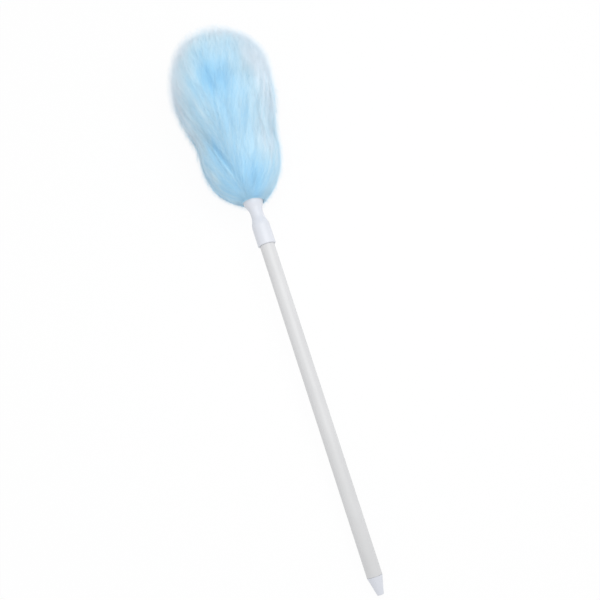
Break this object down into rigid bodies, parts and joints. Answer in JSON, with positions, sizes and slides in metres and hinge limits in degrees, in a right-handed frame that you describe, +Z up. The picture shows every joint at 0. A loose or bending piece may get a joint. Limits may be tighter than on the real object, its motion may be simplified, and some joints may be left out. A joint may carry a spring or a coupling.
{
  "type": "telescopic duster",
  "caption": "Long-handled duster: white two-tube pole that slides out and twists to lock, pale collar, and a club-shaped pale blue long-pile wool head.",
  "frame": {"origin": "middle of the flat end of the pole's tip", "axes": "+Z up and the duster lying on a table, +X from the tip towards the wool head along the table, the pole's own axis rising 4.634 degrees from +X in the XZ plane"},
  "size_m": [0.858, 0.1506, 0.1469],
  "materials": {
    "white_paint": "satin",
    "pale_plastic": "satin",
    "grey_plastic": "satin",
    "steel": "satin",
    "pale_wood": "matte",
    "hide": "matte",
    "blue_wool": "matte"
  },
  "bodies": {
    "handle": {"outer_tube": "white_paint", "tip_plug": "pale_plastic", "guide_bush": "grey_plastic"},
    "lock_sleeve": {"expander_sleeve": "pale_plastic"},
    "cone": {"cone_nut": "grey_plastic"},
    "extension": {"inner_tube": "steel", "lock_plug": "grey_plastic", "cross_pin": "steel", "lock_spindle": "steel", "thrust_washer": "steel", "stop_washer": "steel", "stop_nut": "steel", "head_collar": "pale_plastic", "collar_screw": "steel", "core_rod": "pale_wood", "pile_backing": "hide", "strip_tack": "steel", "end_patch": "hide", "end_tack": "steel", "wool_pile": "blue_wool", "end_tuft": "blue_wool"}
  },
  "joints": [
    {"name": "telescope_slide", "type": "slide", "parent": "handle", "child": "lock_sleeve", "axis": [0.9967, 0, 0.0808], "range_m": [0, 0.33]},
    {"name": "twist_lock", "type": "hinge", "parent": "lock_sleeve", "child": "extension", "pos_m": [0.16147, 0, 0.01309], "axis": [0.9967, 0, 0.0808], "range_deg": [0, 270]},
    {"name": "cone_nut_travel", "type": "slide", "parent": "lock_sleeve", "child": "cone", "axis": [-0.9967, 0, -0.0808], "range_m": [0, 0.0015]}
  ],
  "couplings": [
    {"joint": "cone_nut_travel", "follows": "twist_lock", "m_per_rad": 0.00031831}
  ]
}
